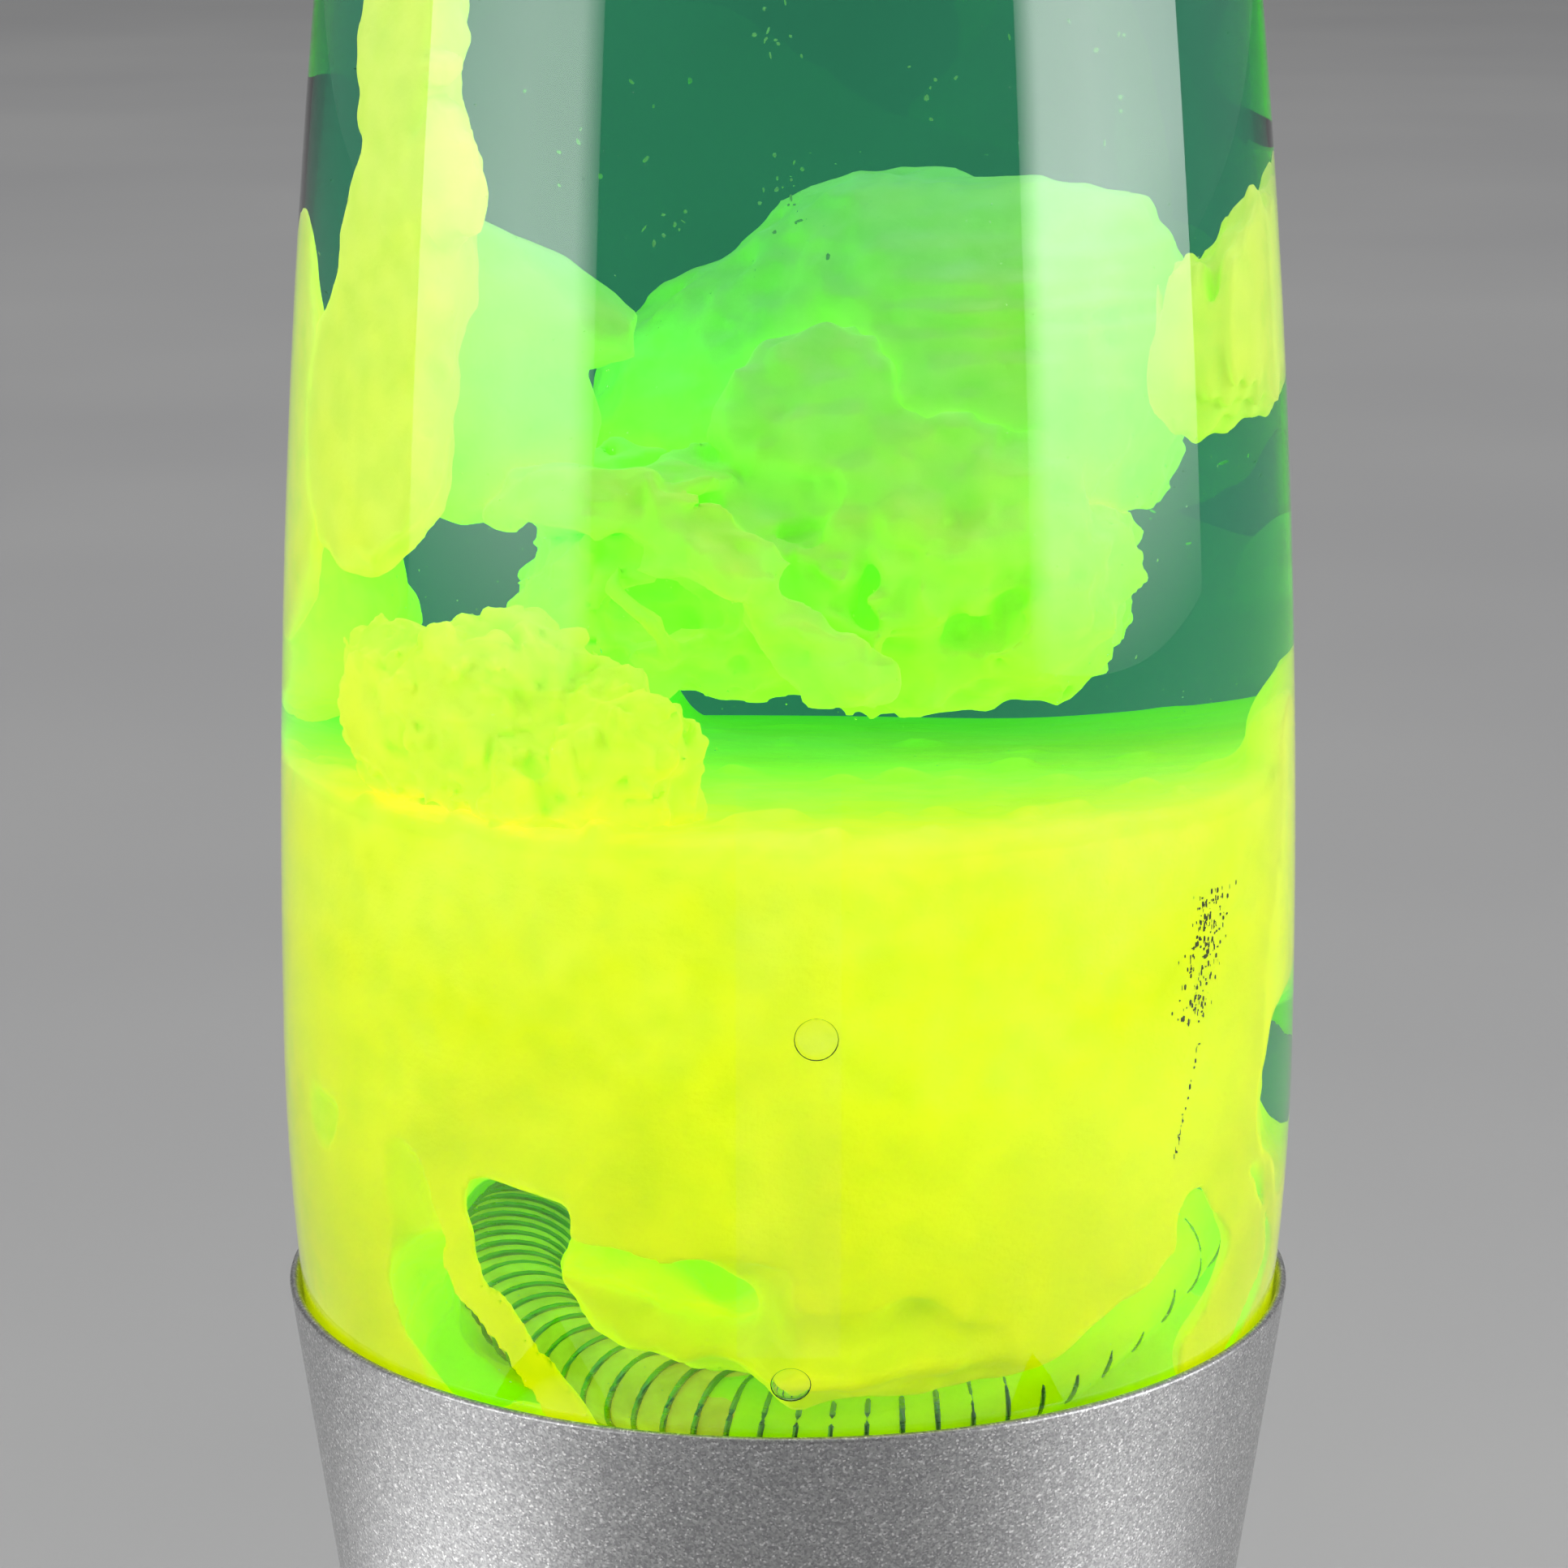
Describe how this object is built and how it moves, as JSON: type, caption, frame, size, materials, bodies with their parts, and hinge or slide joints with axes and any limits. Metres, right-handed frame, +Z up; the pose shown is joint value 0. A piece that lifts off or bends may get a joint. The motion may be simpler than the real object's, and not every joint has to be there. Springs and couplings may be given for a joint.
{
  "type": "lava lamp",
  "caption": "Tall lamp: a sealed tapered bottle of teal liquid and bright yellow-green wax stands in a waisted silver base over a reflector bulb, under a loose silver cap.",
  "frame": {"origin": "on the lamp's axis, on the surface that its rubber feet stand on", "axes": "+Z up along the lamp's axis, -Y towards the front, the cord inlet is at +Y"},
  "size_m": [0.112, 0.112, 0.415],
  "materials": {
    "silver_paint": "silver powder coat with fine bright flake on spun aluminium",
    "plated_steel": "bright zinc plate",
    "brass": "plain turned brass",
    "nickel": "nickel plate",
    "bakelite": "moulded black phenolic, satin",
    "porcelain": "glazed white porcelain",
    "rubber": "soft black rubber",
    "black_plastic": "fine-textured black plastic",
    "clear_glass": "clear, smooth blown glass",
    "frosted_glass": "frosted bulb glass",
    "tungsten": "dull grey wire",
    "spring_steel": "bright drawn wire",
    "teal_liquid": "clear teal liquid",
    "wax": "translucent fluorescent yellow-green wax",
    "liner": "soft white sealing liner"
  },
  "bodies": {
    "base": {"base_cup": "silver_paint", "base_foot": "silver_paint", "lamp_plate": "plated_steel", "seat_ring": "plated_steel", "cord_grommet": "rubber", "bottom_cover": "black_plastic", "clamp_screw_1": "plated_steel", "clamp_screw_2": "plated_steel", "clamp_screw_3": "plated_steel", "clamp_nut_1": "plated_steel", "clamp_nut_2": "plated_steel", "clamp_nut_3": "plated_steel", "cover_bracket_1": "plated_steel", "cover_bracket_2": "plated_steel", "cover_bracket_3": "plated_steel", "cover_screw_1": "plated_steel", "cover_screw_2": "plated_steel", "cover_screw_3": "plated_steel", "rubber_foot_1": "rubber", "rubber_foot_2": "rubber", "rubber_foot_3": "rubber", "rubber_foot_4": "rubber", "holder_body": "bakelite", "holder_core": "porcelain", "holder_screw_shell": "brass", "centre_contact": "brass", "threaded_nipple": "brass", "nipple_washer": "plated_steel", "nipple_nut": "plated_steel", "terminal_screw_1": "brass", "terminal_screw_2": "brass"},
    "bulb_rider": {"bulb_contact": "nickel"},
    "bulb": {"bulb_glass": "frosted_glass", "bulb_cap": "nickel", "bulb_insulator": "bakelite", "bulb_stem": "clear_glass", "lead_wire_1": "nickel", "lead_wire_2": "nickel", "filament": "tungsten"},
    "bottle": {"glass_bottle": "clear_glass", "crown_cap": "plated_steel", "crown_liner": "liner", "heat_spring": "spring_steel", "liquid": "teal_liquid", "wax_settled": "wax", "wax_floor": "wax", "wax_column": "wax", "wax_crumb": "wax", "wax_back_left": "wax", "wax_left_lobe": "wax", "wax_folds": "wax", "wax_dome": "wax", "wax_right_smear": "wax", "wax_right_chunk": "wax", "wax_left_strand": "wax"},
    "cap": {"top_cap": "silver_paint"}
  },
  "joints": [
    {"name": "bulb_rise", "type": "slide", "parent": "base", "child": "bulb_rider", "axis": [0, 0, 1], "range_m": [0, 0.0114]},
    {"name": "bulb_turn", "type": "hinge", "parent": "bulb_rider", "child": "bulb", "pos_m": [0, 0, 0.0617], "axis": [0, 0, 1], "range_deg": [0, 1440]},
    {"name": "bottle_lift", "type": "slide", "parent": "base", "child": "bottle", "axis": [0, 0, 1], "range_m": [0, 0.06]},
    {"name": "cap_lift", "type": "slide", "parent": "bottle", "child": "cap", "axis": [0, 0, 1], "range_m": [0, 0.06]}
  ],
  "couplings": [
    {"joint": "bulb_rise", "follows": "bulb_turn", "m_per_rad": 0.00044882}
  ]
}
